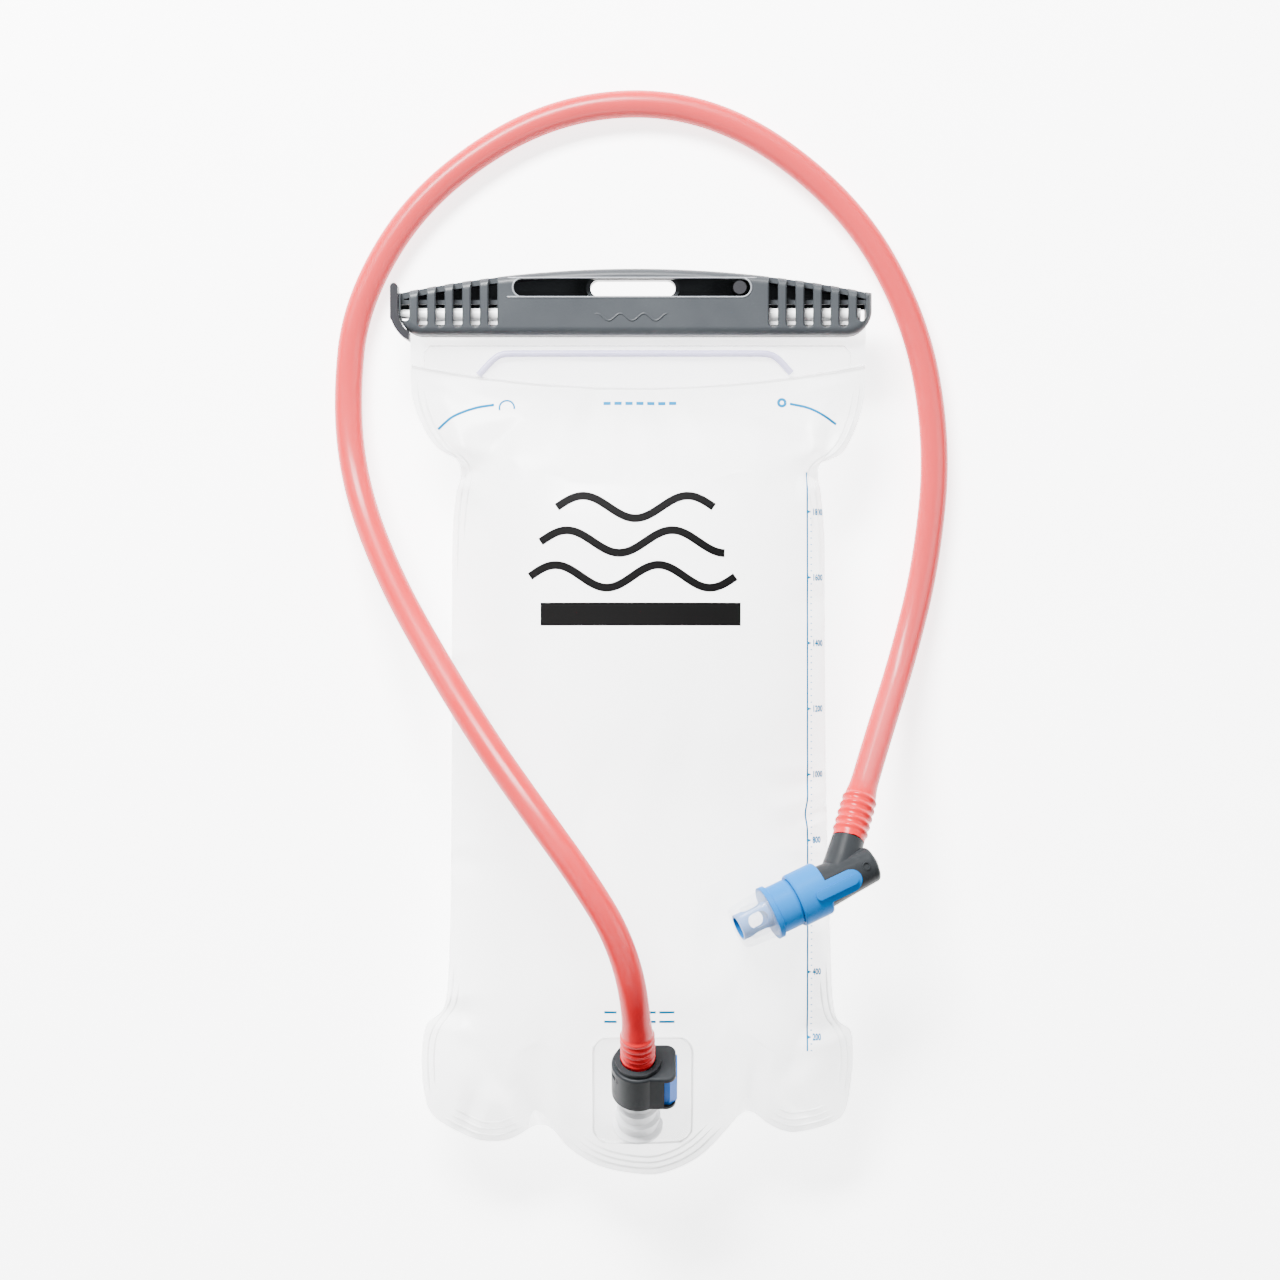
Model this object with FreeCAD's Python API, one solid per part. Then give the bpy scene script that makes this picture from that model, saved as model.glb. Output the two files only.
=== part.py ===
import FreeCAD, Part
import math
import os

# Hydration bladder (2 litre soft water reservoir with a slide seal, drink hose and bite valve).
# Frame: the bladder lies on its back. Origin on the resting face, +X across the bag,
# +Y towards the slide seal, +Z up through the front film. Millimetres.

V = FreeCAD.Vector
X_AXIS = V(1, 0, 0)
Z_AXIS = V(0, 0, 1)

# ---- driving dimensions ----
FILM = 0.8                  # film thickness, doubled at the welds
SEAM_Z = 24.0               # height of the weld seam round the bag
SEAM_GAP = 0.1              # between the two film flanges
FRONT_RISE = 36.0           # crown of the front film above the seam
CROWN_POWER = 2.4           # fullness of the bag's cross-section
MOUTH_HALF = 85.7           # half width of the flat mouth
CUFF_TOP = 149.6            # top edge of the flat cuff, inside the slide

SLIDE_Z = (17.0, 31.0)      # back and front faces of the slide
SLIDE_X = (-90.0, 87.8)
SLIDE_BOTTOM = 145.3
SLIDE_END_TOP = 161.2
SLIDE_APEX = 170.4
SLIDE_WALL = 2.0
SLIDE_CORNER = 9.4          # radius of the slide's lower corners
STOP_WALL = 2.9             # thickness of the tab that stops the slide
STOP_GAP = 0.2
STOP_HEIGHT = 11.0
STOP_TOP = 165.0
SHELF = (157.2, 158.8)      # wall between the slide's rail channel and its upper hollow
RAIL_Y = 153.5              # axis of the rail that the mouth film is folded round
RAIL_R = 1.6
HEM_R = 2.4
RUN_CLEAR = 0.1             # running clearance of sliding and turning pieces
WINDOW_PITCH = 6.6
WINDOW_WIDTH = 3.4
WINDOW_COUNT = 6
WINDOW_MIDDLE = -1.8        # middle between the two groups of grip windows
WINDOW_FIRST = 52.6         # from there to the innermost window of each group
HANGER_X = (-17.9, 14.1)    # through slot that hangs the bladder up
HANGER_Y = (160.1, 166.5)

PORT_BASE = V(0, -149.3, 44.0)
PORT_RISE = 42.0            # degrees that the drink port stands above the bag's plane
SPIGOT_R = 4.9
SPIGOT_TOP = 33.0
SEAT_R = 1.9
PORT_BORE_R = 3.0
BODY_S = (18.6, 35.3)       # connector body, from the film along the port axis
BODY_R = 9.7
BUTTON_S = (20.5, 33.5)     # release button, along the port axis
BUTTON_TRAVEL = 1.2
BUTTON_GAP = 0.1

HOSE_R = 5.25
HOSE_BORE_R = 3.3

VALVE_CENTRE = V(62.3, -62.9, 55.5)
VALVE_TURN = 24.7           # degrees from +X to the valve's axis, seen from above
VALVE_TIP_RISE = 12.0       # degrees that the mouth end is tipped up
BRANCH_AT = 12.3            # along the valve axis, from the collar's middle
BRANCH_TURN = 72.4
BRANCH_DROP = 26.0
BRANCH_LENGTH = 17.2
COLLAR_R = 10.2
SPINDLE_R = 5.9             # front spindle of the elbow, which the collar turns on
BARREL_END = 27.5           # back end of the elbow's barrel, along the valve axis
FINGER_END = 19.3           # end of the collar's finger tab
NOSE_WINDOW = (5.4, 17.6, 25.4)     # width, and the two ends along the nose of the valve core
WATERWAY_R = 3.6
RELIEF_RING = (1.55, 1.15)  # raised ring on top of the barrel, outer and inner radius

# Centreline of the drink hose, from the connector to the valve elbow.
HOSE_ROUTE = [
    (0, -123.4, 67.3),
    (0, -102.2, 86.4),
    (-6.5, -76, 94.5),
    (-20.5, -53.5, 93.5),
    (-36.5, -32, 86.5),
    (-55, -7, 72.5),
    (-75, 23.5, 52.5),
    (-93.5, 55, 31.5),
    (-107, 88, 13),
    (-111.5, 121, 5.3),
    (-107.5, 161, 5.3),
    (-80.5, 204, 5.3),
    (-29.5, 235.5, 5.3),
    (28, 235.5, 5.3),
    (79, 200, 5.3),
    (106, 154, 5.3),
    (114.5, 105, 5.3),
    (110, 60, 5.3),
    (101, 25, 9.5),
    (91.7, -1.5, 23.2),
    (83.9, -24.4, 35.7),
    (77.9, -43.2, 45.4),
]

# Flat outline of the right half of the bag, from the mouth down to the bottom lobes.
OUTLINE_HALF = [
    (83.5, 128),
    (80.8, 115),
    (77.0, 105),
    (69.5, 99),
    (69.8, 90),
    (70.1, 60),
    (70.1, 0),
    (71.0, -70),
    (73.3, -106),
    (76.5, -116),
    (80.3, -128),
    (79.6, -142),
    (72.5, -150.5),
    (60.0, -155.5),
    (49.0, -154.5),
    (39.0, -150.0),
    (31.0, -154.5),
    (19.0, -165.0),
]
OUTLINE_BOTTOM = -170.1

# Stations along the bag: y, height over the seam on the centre line, half width of the dome.
FRONT_STATIONS = [
    (-174, -12, 38),
    (-167, 2, 38),
    (-160, 10, 39),
    (-153, 15, 44),
    (-145, 18.5, 54),
    (-136, 21, 64),
    (-117, 27.5, 69),
    (-95, 33.5, 68),
    (-70, 36, 66),
    (-30, 36, 66),
    (20, 36, 66),
    (62, 34.5, 66),
    (95, 26, 66),
    (115, 12, 66),
    (127, -2, 66),
    (140, -18, 66),
]
BACK_STATIONS = [
    (-176, -16, 60),
    (-164, -2, 60),
    (-150, 12, 62),
    (-130, 26, 66),
    (-100, 33, 66),
    (-60, 34, 66),
    (0, 34, 66),
    (60, 33, 66),
    (92, 24, 66),
    (112, 9, 66),
    (122, -3, 66),
    (136, -18, 66),
]


# ---- frames and small helpers ----
def frame_from_axes(origin, x_dir, z_dir):
    """Placement whose local Z runs along z_dir and local X along x_dir."""
    y_dir = z_dir.cross(x_dir)
    matrix = FreeCAD.Matrix(
        x_dir.x, y_dir.x, z_dir.x, origin.x,
        x_dir.y, y_dir.y, z_dir.y, origin.y,
        x_dir.z, y_dir.z, z_dir.z, origin.z,
        0, 0, 0, 1,
    )
    return FreeCAD.Placement(matrix)


def direction(turn, rise):
    """Unit vector at turn degrees from +X in plan and rise degrees above the floor."""
    flat = math.cos(math.radians(rise))
    return V(
        flat * math.cos(math.radians(turn)),
        flat * math.sin(math.radians(turn)),
        math.sin(math.radians(rise)),
    )


PORT_AXIS = direction(90, PORT_RISE)
PORT = frame_from_axes(PORT_BASE, X_AXIS, PORT_AXIS)
VALVE_AXIS = direction(VALVE_TURN, -VALVE_TIP_RISE)
VALVE_SIDE = direction(VALVE_TURN - 90, 0)
VALVE = frame_from_axes(VALVE_CENTRE, VALVE_SIDE, VALVE_AXIS)
BRANCH_AXIS = direction(BRANCH_TURN, -BRANCH_DROP)
BRANCH_SIDE = direction(BRANCH_TURN - 90, 0)
BRANCH_ORIGIN = VALVE_CENTRE + VALVE_AXIS * BRANCH_AT
BRANCH = frame_from_axes(BRANCH_ORIGIN, BRANCH_SIDE, BRANCH_AXIS)


def placed(shape, place):
    moved = shape.copy()
    moved.Placement = place.multiply(moved.Placement)
    return moved


def save(node, shape):
    shape.exportStep("parts/" + node + ".step")
    facts = (node, len(shape.Solids), shape.Volume, shape.isValid())
    print("%-16s solids %d  volume %9.1f  valid %s" % facts)


def box(x0, x1, y0, y1, z0, z1):
    return Part.makeBox(x1 - x0, y1 - y0, z1 - z0, V(x0, y0, z0))


def rod(radius, z0, z1, x=0.0, y=0.0):
    return Part.makeCylinder(radius, z1 - z0, V(x, y, z0))


def tube(outer, inner, z0, z1):
    return rod(outer, z0, z1).cut(rod(inner, z0 - 1, z1 + 1))


def turned(profile):
    """Solid of revolution about local Z from (radius, z) corners."""
    points = [V(radius, 0, z) for radius, z in profile]
    points.append(points[0])
    face = Part.Face(Part.makePolygon(points))
    return face.revolve(V(0, 0, 0), Z_AXIS, 360)


def slot(x0, x1, y0, y1, z0, z1):
    """Flat-sided block with fully rounded ends along its longer side."""
    if x1 - x0 > y1 - y0:
        end = (y1 - y0) / 2
        middle = (y0 + y1) / 2
        core = box(x0 + end, x1 - end, y0, y1, z0, z1)
        ends = [rod(end, z0, z1, x0 + end, middle), rod(end, z0, z1, x1 - end, middle)]
    else:
        end = (x1 - x0) / 2
        middle = (x0 + x1) / 2
        core = box(x0, x1, y0 + end, y1 - end, z0, z1)
        ends = [rod(end, z0, z1, middle, y0 + end), rod(end, z0, z1, middle, y1 - end)]
    return core.multiFuse(ends).removeSplitter()


def rounded_block(x0, x1, y0, y1, z0, z1, radius):
    block = box(x0, x1, y0, y1, z0, z1)
    upright = [e for e in block.Edges if abs(e.tangentAt(e.FirstParameter).z) > 0.9]
    return block.makeFillet(radius, upright)


def spring(radius, wire, length, turns):
    """Helical spring along local Z, between z = 0 and z = length."""
    helix = Part.makeHelix((length - 2 * wire) / turns, length - 2 * wire, radius)
    section = Part.Wire(Part.Circle(V(radius, 0, 0), V(0, 1, 0), wire).toShape())
    coil = Part.Wire(helix.Edges).makePipeShell([section], True, True)
    coil.translate(V(0, 0, wire))
    return coil


# ---- bag films ----
def crown_height(stations, x):
    """One row of heights over the seam, at distance x from the centre line."""
    return [(y, rise - FRONT_RISE * (abs(x) / half) ** CROWN_POWER) for y, rise, half in stations]


def dome(stations, shift, side):
    """Solid between the seam plane and a crowned film; side is +1 for front, -1 for back."""
    columns = [-84, -72, -60, -45, -30, -15, 0, 15, 30, 45, 60, 72, 84]
    grid = []
    for x in columns:
        row = crown_height(stations, x)
        grid.append([V(x, y, SEAM_Z + side * (height + shift)) for y, height in row])
    film = Part.BSplineSurface()
    film.interpolate(grid)
    solid = film.toShape().extrude(V(0, 0, -side * 200))
    if side > 0:
        keep = box(-83, 83, -173, 135, SEAM_Z, 200)
    else:
        keep = box(-83, 83, -173, 135, -shift, SEAM_Z)
    return solid.common(keep)


def bag_outline():
    """Closed wire of the whole flat bag in the plane z = 0."""
    right = [V(x, y, 0) for x, y in OUTLINE_HALF]
    left = [V(-x, y, 0) for x, y in reversed(OUTLINE_HALF)]
    points = right + [V(0, OUTLINE_BOTTOM, 0)] + left
    curve = Part.BSplineCurve()
    curve.interpolate(points)
    corners = [points[-1], V(-MOUTH_HALF, CUFF_TOP, 0), V(MOUTH_HALF, CUFF_TOP, 0), points[0]]
    edges = [curve.toShape()]
    for start, end in zip(corners, corners[1:]):
        edges.append(Part.LineSegment(start, end).toShape())
    return Part.Wire(edges)


def flat_film(z0, z1):
    face = Part.Face(bag_outline())
    face.translate(V(0, 0, z0))
    return face.extrude(V(0, 0, z1 - z0))


def above_smile():
    """Everything above the curved weld where the clear cuff starts."""
    arc = Part.Arc(V(-95, 134.8, 0), V(0, 125.4, 0), V(95, 134.8, 0)).toShape()
    rest = Part.makePolygon([V(95, 134.8, 0), V(95, 200, 0), V(-95, 200, 0), V(-95, 134.8, 0)])
    return Part.Face(Part.Wire([arc] + rest.Edges)).extrude(V(0, 0, 80))


def port_hole():
    """Upright hole through the film and the foot of the port, up to where the port's own bore starts."""
    upright = rod(PORT_BORE_R, 20, PORT_BASE.z, PORT_BASE.x, PORT_BASE.y)
    return upright.fuse(Part.makeSphere(PORT_BORE_R, PORT_BASE))


def make_films():
    upper = SEAM_Z + SEAM_GAP / 2
    lower = SEAM_Z - SEAM_GAP / 2
    smile = above_smile()

    front_outer = dome(FRONT_STATIONS, 0, 1)
    front_inner = dome(FRONT_STATIONS, -FILM, 1)
    front_inner = front_inner.fuse(front_section_below(front_inner))
    front = flat_film(upper, upper + FILM).fuse(front_outer.common(box(-90, 90, -180, 140, upper, 90)))
    front = front.cut(smile).cut(front_inner).cut(port_hole()).removeSplitter()

    back_outer = dome(BACK_STATIONS, 0, -1)
    back_inner = dome(BACK_STATIONS, -FILM, -1)
    back_inner = back_inner.common(box(-90, 90, -180, 140, FILM, SEAM_Z))
    back = flat_film(lower - FILM, lower)
    back = back.fuse(back_outer.common(box(-90, 90, -180, 140, 0, lower)))
    back = back.cut(smile).cut(back_inner).removeSplitter()

    save("front_panel", front)
    save("back_panel", back)
    return front_outer


def front_section_below(inner):
    """Carries the inside of the front dome down through the flange's lower face."""
    section = inner.slice(Z_AXIS, SEAM_Z + 0.01)
    return Part.Face(section[0]).extrude(V(0, 0, 0.2))


# ---- mouth: cuff, stiffener, rail and its end stop ----
def make_mouth():
    cuff = flat_film(SEAM_Z - FILM, SEAM_Z + FILM).common(above_smile())
    cuff = cuff.cut(box(SLIDE_X[1] - 3.2, 90, SLIDE_BOTTOM - 0.3, 160, 0, 60))
    save("mouth_cuff", cuff)

    ridge = 2.2
    outer = [V(-60.5, 130.6, 0), V(-51.8, 139.7, 0), V(50.3, 139.7, 0), V(58.8, 130.6, 0)]
    inner = [outer[0] + V(ridge * 1.4, 0, 0), outer[1] + V(ridge * 0.45, -ridge, 0)]
    inner += [outer[2] + V(-ridge * 0.45, -ridge, 0), outer[3] + V(-ridge * 1.4, 0, 0)]
    strip = Part.Face(Part.makePolygon(outer + list(reversed(inner)) + [outer[0]]))
    bead = strip.extrude(V(0, 0, 1.0))
    bead.translate(V(0, 0, SEAM_Z + FILM))
    save("mouth_stiffener", bead)


def make_rail():
    left, right = SLIDE_X[0] - 0.4, SLIDE_X[1] - 4.0
    along_x = frame_from_axes(V(0, RAIL_Y, SEAM_Z), V(0, 1, 0), X_AXIS)
    rail = placed(rod(RAIL_R, left, right), along_x)
    save("mouth_rail", rail)

    hem = placed(tube(HEM_R, RAIL_R, -MOUTH_HALF + 0.5, right), along_x)
    web = box(-MOUTH_HALF + 0.5, right, CUFF_TOP, RAIL_Y, SEAM_Z - FILM, SEAM_Z + FILM)
    web = web.cut(placed(rod(RAIL_R, left - 1, right + 1), along_x))
    save("mouth_hem", hem.fuse(web).removeSplitter())

    # The stop is a curved tab that hugs the left end of the slide.
    centre = V(SLIDE_X[0] + SLIDE_CORNER, SLIDE_BOTTOM + SLIDE_CORNER, 0)
    near = arc_band(SLIDE_CORNER + STOP_GAP, STOP_WALL, centre)
    inner = SLIDE_X[0] - STOP_GAP
    upper = slot(inner - STOP_WALL, inner, centre.y - 4, STOP_TOP, 0, STOP_HEIGHT)
    lower = box(-120, SLIDE_X[0] + 4.0, 130, centre.y, 0, STOP_HEIGHT)
    stop = near.extrude(V(0, 0, STOP_HEIGHT)).common(lower).fuse(upper)
    stop.translate(V(0, 0, SEAM_Z - STOP_HEIGHT / 2))
    save("rail_stop", stop.cut(rail).removeSplitter())


def arc_band(inner, wall, centre):
    """Flat ring of that inner radius and wall."""
    outer_ring = Part.Wire(Part.Circle(centre, Z_AXIS, inner + wall).toShape())
    inner_ring = Part.Wire(Part.Circle(centre, Z_AXIS, inner).toShape())
    return Part.Face(outer_ring).cut(Part.Face(inner_ring))


# ---- slide seal ----
def quarter(start, middle, end):
    return Part.Arc(start, middle, end).toShape()


def slide_outline(inset, z0, z1):
    """Low arch with rounded lower corners, drawn in by inset."""
    x0, x1 = SLIDE_X[0] + inset, SLIDE_X[1] - inset
    bottom = SLIDE_BOTTOM + inset
    corner = SLIDE_CORNER - inset
    middle = (x0 + x1) / 2
    diagonal = corner * (1 - math.sqrt(0.5))
    left_top = V(x0, SLIDE_END_TOP - inset, 0)
    right_top = V(x1, SLIDE_END_TOP - inset, 0)
    edges = [
        quarter(left_top, V(middle, SLIDE_APEX - inset, 0), right_top),
        Part.LineSegment(right_top, V(x1, bottom + corner, 0)).toShape(),
        quarter(V(x1, bottom + corner, 0), V(x1 - diagonal, bottom + diagonal, 0), V(x1 - corner, bottom, 0)),
        Part.LineSegment(V(x1 - corner, bottom, 0), V(x0 + corner, bottom, 0)).toShape(),
        quarter(V(x0 + corner, bottom, 0), V(x0 + diagonal, bottom + diagonal, 0), V(x0, bottom + corner, 0)),
        Part.LineSegment(V(x0, bottom + corner, 0), left_top).toShape(),
    ]
    face = Part.Face(Part.Wire(edges))
    face.translate(V(0, 0, z0))
    return face.extrude(V(0, 0, z1 - z0))


def window_wire(centre, half, sill, z):
    """Outline of a grip window with a round lower end, open past the slide's top edge."""
    left, right = V(centre - half, sill + half, z), V(centre + half, sill + half, z)
    top_left, top_right = V(centre - half, 180, z), V(centre + half, 180, z)
    return Part.Wire([
        Part.Arc(left, V(centre, sill, z), right).toShape(),
        Part.LineSegment(right, top_right).toShape(),
        Part.LineSegment(top_right, top_left).toShape(),
        Part.LineSegment(top_left, left).toShape(),
    ])


def make_slide():
    back, front = SLIDE_Z
    body = slide_outline(0, back, front)
    level = [e for e in body.Edges if abs(e.BoundBox.ZMin - e.BoundBox.ZMax) < 0.01]
    body = body.makeFillet(3.2, [e for e in level if e.BoundBox.ZMin > SEAM_Z])
    back_rims = [e for e in body.Edges if e.BoundBox.ZMax < back + 0.01]
    body = body.makeFillet(1.6, back_rims)

    # Upper hollow and rail channel, with a shelf between them.
    inside = slide_outline(SLIDE_WALL, back + SLIDE_WALL, front - SLIDE_WALL)
    upper = inside.common(box(-90, 90, SHELF[1], 180, 0, 60))
    channel = box(SLIDE_X[0] - 1, SLIDE_X[1] - 2.5, 148.6, SHELF[0], SEAM_Z - 3.2, SEAM_Z + 3.2)
    lip_gap = FILM + 0.3
    lips = box(SLIDE_X[0] - 1, SLIDE_X[1] - 2.5, 140, 150, SEAM_Z - lip_gap, SEAM_Z + lip_gap)
    body = body.cut(upper).cut(channel).cut(lips)

    # Grip windows open into the channel and run out over the top edge; the hem shows through the back.
    windows = []
    half = WINDOW_WIDTH / 2
    bevel = 0.5
    for side in (-1, 1):
        for number in range(WINDOW_COUNT):
            centre = WINDOW_MIDDLE + side * (WINDOW_FIRST + WINDOW_PITCH * number)
            sill = 148.2 + (2.4 if number == WINDOW_COUNT - 1 else 0)
            windows.append(slot(centre - half, centre + half, sill, 180, SEAM_Z + 2.0, 40))
            windows.append(box(centre - half, centre + half, 151.4, 155.6, back - 1, back + 4))
            narrow = window_wire(centre, half, sill, front - bevel)
            wide = window_wire(centre, half + bevel, sill - bevel, front)
            windows.append(Part.makeLoft([narrow, wide], True))
    body = body.cut(Part.makeCompound(windows))

    # Long front recess with the hanger slot through its floor.
    recess = slot(-46.6, 42.1, 159.9, 166.3, front - 8, front + 1)
    left, right = HANGER_X
    low, high = HANGER_Y
    sleeve = slot(left - 1.6, right + 1.6, low - 1.2, high + 1.2, back + 1, front - 6)
    through = slot(left, right, low, high, back - 1, front + 1)
    body = body.cut(recess).fuse(sleeve).cut(through).removeSplitter()
    save("slide_body", body.Solids[0])

    stud = rod(2.5, back + SLIDE_WALL, front - 0.6, 38.2, 163.2)
    save("slide_stud", stud)


# ---- drink port ----
def make_port(front_outer):
    over_film = front_outer.copy()
    over_film.translate(V(0, 0, 0.05))
    over_patch = front_outer.copy()
    over_patch.translate(V(0, 0, 1.05))
    patch = rounded_block(-17, 20.5, -157, -115.5, 30, 90, 6).common(over_patch).cut(over_film)
    save("port_patch", patch.cut(port_hole()))

    # Ribbed clear nipple, trimmed to stand on the patch.
    ribs = [(9.2, 0), (9.2, 1.0), (7.6, 2.2), (7.4, 4.6), (8.3, 5.6), (8.3, 7.0), (7.0, 8.0)]
    ribs += [(6.9, 10.2), (7.8, 11.2), (7.8, 12.6), (6.6, 13.6), (6.4, 18.0)]
    outside = turned([(0, 0)] + ribs + [(0, 18.0)])
    disc = placed(Part.Face(Part.Wire(Part.Circle(V(0, 0, 0.5), Z_AXIS, 9.2).toShape())), PORT)
    foot = disc.extrude(V(0, 0, -30))
    inside = placed(rod(5.2, 8.9, 19).fuse(rod(PORT_BORE_R, 0, 10)), PORT)
    nipple = placed(outside, PORT).fuse(foot).cut(inside).cut(port_hole())
    above_patch = front_outer.copy()
    above_patch.translate(V(0, 0, 1.1))
    inside_bag = box(-30, 30, -190, -100, -10, SEAM_Z + 3)
    save("port_nipple", nipple.cut(above_patch).cut(inside_bag).removeSplitter())

    # Valved spigot that the hose connector snaps on.
    outline = [
        (PORT_BORE_R, 9.0), (5.1, 9.0), (5.1, 18.1), (6.4, 18.1), (6.4, 19.4), (SPIGOT_R, 19.4),
        (SPIGOT_R, 24.0), (3.75, 24.0), (3.75, 25.8), (SPIGOT_R, 25.8), (SPIGOT_R, 30.0),
        (3.9, 30.0), (3.9, 32.2), (SPIGOT_R, 32.2), (SPIGOT_R - 0.5, SPIGOT_TOP), (SEAT_R, SPIGOT_TOP),
        (SEAT_R, 31.0), (PORT_BORE_R, 31.0),
    ]
    save("port_spigot", placed(turned(outline), PORT))
    ring = Part.makeTorus(4.35, 0.58, V(0, 0, 24.9))
    save("port_oring", placed(ring, PORT))

    # Poppet with its guide, spring and face seal.
    hub = rod(1.7, 18.0, 20.0)
    rim = tube(PORT_BORE_R - 0.02, 2.4, 18.0, 20.0)
    arms = [box(0, 2.6, -0.4, 0.4, 18.0, 20.0) for _ in range(3)]
    for number, arm in enumerate(arms):
        arm.rotate(V(0, 0, 0), Z_AXIS, 120 * number)
    guide = hub.multiFuse([rim] + arms).cut(rod(1.0, 17, 21)).removeSplitter()
    save("poppet_guide", placed(guide, PORT))

    stem_outline = [(0, 15), (0.9, 15), (0.9, 26.7), (2.5, 26.7), (2.5, 27.9), (0.9, 27.9)]
    stem = turned(stem_outline + [(0.9, 33.4), (0, 33.4)])
    save("poppet", placed(stem, PORT))
    save("poppet_seal", placed(tube(2.5, 0.95, 27.95, 28.5), PORT))
    coil = spring(1.45, 0.25, 6.5, 4)
    coil.translate(V(0, 0, 20.1))
    save("poppet_spring", placed(coil, PORT))


# ---- quick connector on the hose ----
def button_outline(grow, room, s0, s1):
    """Side button with a sloping front corner and a lip behind the front wall; room is left inwards."""
    tail, back = 8.4 - room, 11.7 - room
    corners = [
        (tail, -7.55 - grow), (11.7, -7.55 - grow), (14.4, -4.9 - grow), (14.4, 5.0),
        (13.2, 6.1 + grow), (back, 6.1 + grow), (back, -6.1), (tail, -6.1),
    ]
    outline = [V(x, y, s0) for x, y in corners]
    return Part.Face(Part.makePolygon(outline + [outline[0]])).extrude(V(0, 0, s1 - s0))


def make_connector():
    bottom, top = BODY_S
    wing = rounded_block(-2, 13.9, -8.7, 8.7, bottom, top, 3.6)
    body = rod(BODY_R, bottom, top).fuse(wing).removeSplitter()
    rim = [e for e in body.Edges if e.BoundBox.ZMin > top - 0.01]
    body = body.makeFillet(0.9, rim)
    rim = [e for e in body.Edges if e.BoundBox.ZMax < bottom + 0.01]
    body = body.makeFillet(0.9, rim)
    bore = SPIGOT_R + RUN_CLEAR
    socket = turned([(0, 18), (6.6, 18), (6.6, 19.6), (bore, 19.6), (bore, 33.5), (0, 33.5)])
    body = body.cut(socket)
    for number in range(4):
        turn = math.radians(45 + 90 * number)
        body = body.cut(rod(0.6, 33, 36, 1.5 * math.cos(turn), 1.5 * math.sin(turn)))
    # Seat for the hose end, latch slot, button pocket and the front window that shows the button.
    s0, s1 = BUTTON_S[0] - BUTTON_GAP, BUTTON_S[1] + BUTTON_GAP
    body = body.cut(rod(6.5, 34.6, 36))
    body = body.cut(box(-11, 12, -6.2, 6.2, 30.2, 32.4))
    body = body.cut(button_outline(0.12, BUTTON_TRAVEL + BUTTON_GAP, s0, s1))
    body = body.cut(box(9.6, 15, -9.5, -6.1, s0, s1))
    body = body.cut(box(10.4, 15, -6.2, 6.22, s0, s1))
    spring_hole = placed(rod(1.9, 5.9, 10.6), frame_from_axes(V(0, 0, 27.0), V(0, 1, 0), X_AXIS))
    body = body.cut(spring_hole)
    save("connector_body", placed(body.removeSplitter(), PORT))

    barb_outline = [(2.2, 34.6), (2.85, 34.6)]
    for ring in range(3):
        foot = 36.5 + 3 * ring
        barb_outline += [(2.85, foot), (3.15, foot + 0.2), (2.85, foot + 2.2)]
    barb_outline += [(2.85, 46.0), (2.2, 46.0)]
    save("hose_barb", placed(turned(barb_outline), PORT))
    save("hose_collar", placed(tube(8.5, 6.5, top + 0.05, 37.2), PORT))

    button = button_outline(0, 0, *BUTTON_S)
    outer_edges = [e for e in button.Edges if e.BoundBox.XMin > 12.5 and e.BoundBox.ZLength > 5]
    button = button.makeFillet(0.5, outer_edges)
    save("release_button", placed(button, PORT))
    plate = rounded_block(-8.4, 11.65, -6.0, 6.0, 30.4, 32.2, 1.5)
    eye = slot(-5.05, 6.35, -5.1, 5.1, 30, 33)
    save("latch_plate", placed(plate.cut(eye), PORT))
    coil = spring(1.3, 0.25, 5.6, 4)
    coil = placed(coil, frame_from_axes(V(6.1, 0, 27.0), V(0, 1, 0), X_AXIS))
    save("button_spring", placed(coil, PORT))


# ---- drink hose ----
def rounded_path(points):
    """Straight runs joined by tangent arcs, each as large as its two runs allow."""
    corners = [V(*p) for p in points]
    edges = []
    start = corners[0]
    for before, corner, after in zip(corners, corners[1:], corners[2:]):
        arrive = (corner - before).normalize()
        leave = (after - corner).normalize()
        turn = arrive.getAngle(leave)
        reach = 0.45 * min((corner - before).Length, (after - corner).Length)
        radius = reach / math.tan(turn / 2)
        print("hose radius %5.0f mm, turn %4.1f degrees" % (radius, math.degrees(turn)))
        first = corner - arrive * reach
        last = corner + leave * reach
        centre = corner + (leave - arrive).normalize() * (radius / math.cos(turn / 2))
        middle = centre + (corner - centre).normalize() * radius
        edges.append(Part.LineSegment(start, first).toShape())
        edges.append(Part.Arc(first, middle, last).toShape())
        start = last
    edges.append(Part.LineSegment(start, corners[-1]).toShape())
    return Part.Wire(edges)


def make_hose():
    path = rounded_path(HOSE_ROUTE)
    begin = V(*HOSE_ROUTE[0])
    heading = (V(*HOSE_ROUTE[1]) - begin).normalize()
    skins = []
    for radius in (HOSE_R, HOSE_BORE_R):
        section = Part.Wire(Part.Circle(begin, heading, radius).toShape())
        skins.append(path.makePipeShell([section], True, False))
    hose = skins[0].cut(skins[1])
    expected = math.pi * (HOSE_R ** 2 - HOSE_BORE_R ** 2) * path.Length
    share = hose.Volume / expected
    print("hose length %.1f mm, volume over section times length %.4f" % (path.Length, share))
    save("drink_hose", hose)


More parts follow.
